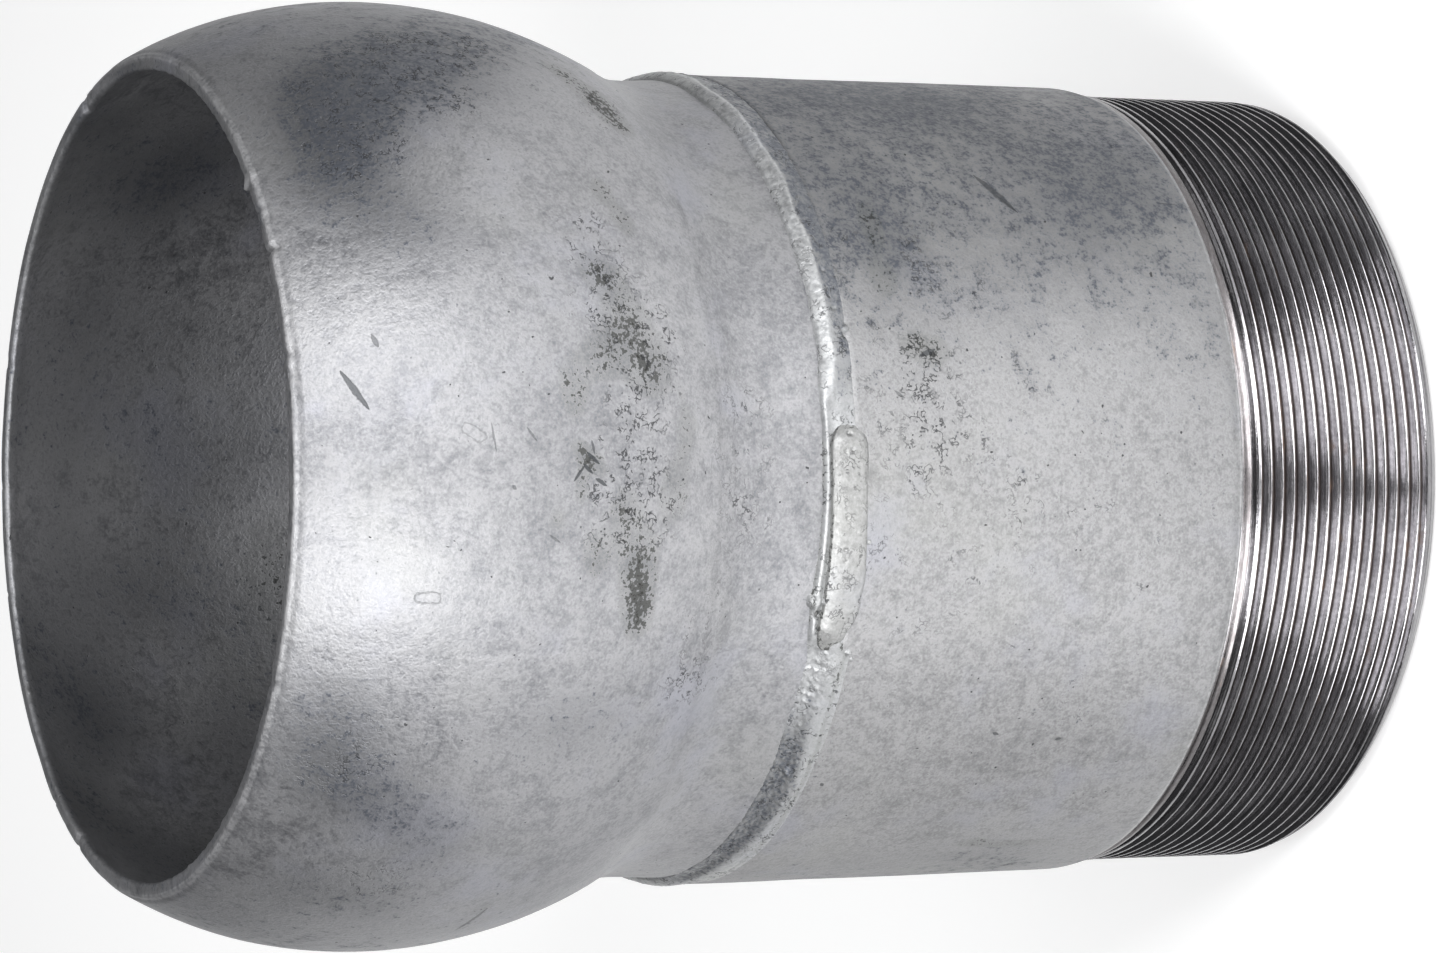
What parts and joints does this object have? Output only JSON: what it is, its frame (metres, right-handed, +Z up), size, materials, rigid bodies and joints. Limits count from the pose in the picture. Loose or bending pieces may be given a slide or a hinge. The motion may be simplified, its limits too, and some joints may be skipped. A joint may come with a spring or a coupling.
{
  "type": "ball-ended pipe nipple with male pipe thread",
  "caption": "Hot-dip galvanised coupling nipple: a hollow ball end, open at the mouth, butt welded to a short pipe that ends in a parallel male pipe thread.",
  "frame": {"origin": "centre of the threaded end face, which is the base the part stands on", "axes": "+Z up along the common axis of thread, pipe and ball, towards the open mouth of the ball; -Y towards the side that carries the closing run of the weld"},
  "size_m": [0.1616, 0.1616, 0.2149],
  "materials": {
    "galvanised_plate": "hot-dip galvanised pressed plate, satin, mottled grey",
    "galvanised_pipe": "hot-dip galvanised pipe, matt grey; the thread is bare cut steel",
    "galvanised_weld": "galvanised weld bead, brighter and lumpy",
    "galvanised_weld_end": "galvanised closing run of the weld, bright",
    "bare_steel": "bare machined steel thread, oiled"
  },
  "bodies": {
    "root": {"ball_shell": "galvanised_plate", "threaded_nipple": "galvanised_pipe", "weld_bead": "galvanised_weld", "weld_closing_run": "galvanised_weld_end"}
  },
  "joints": []
}
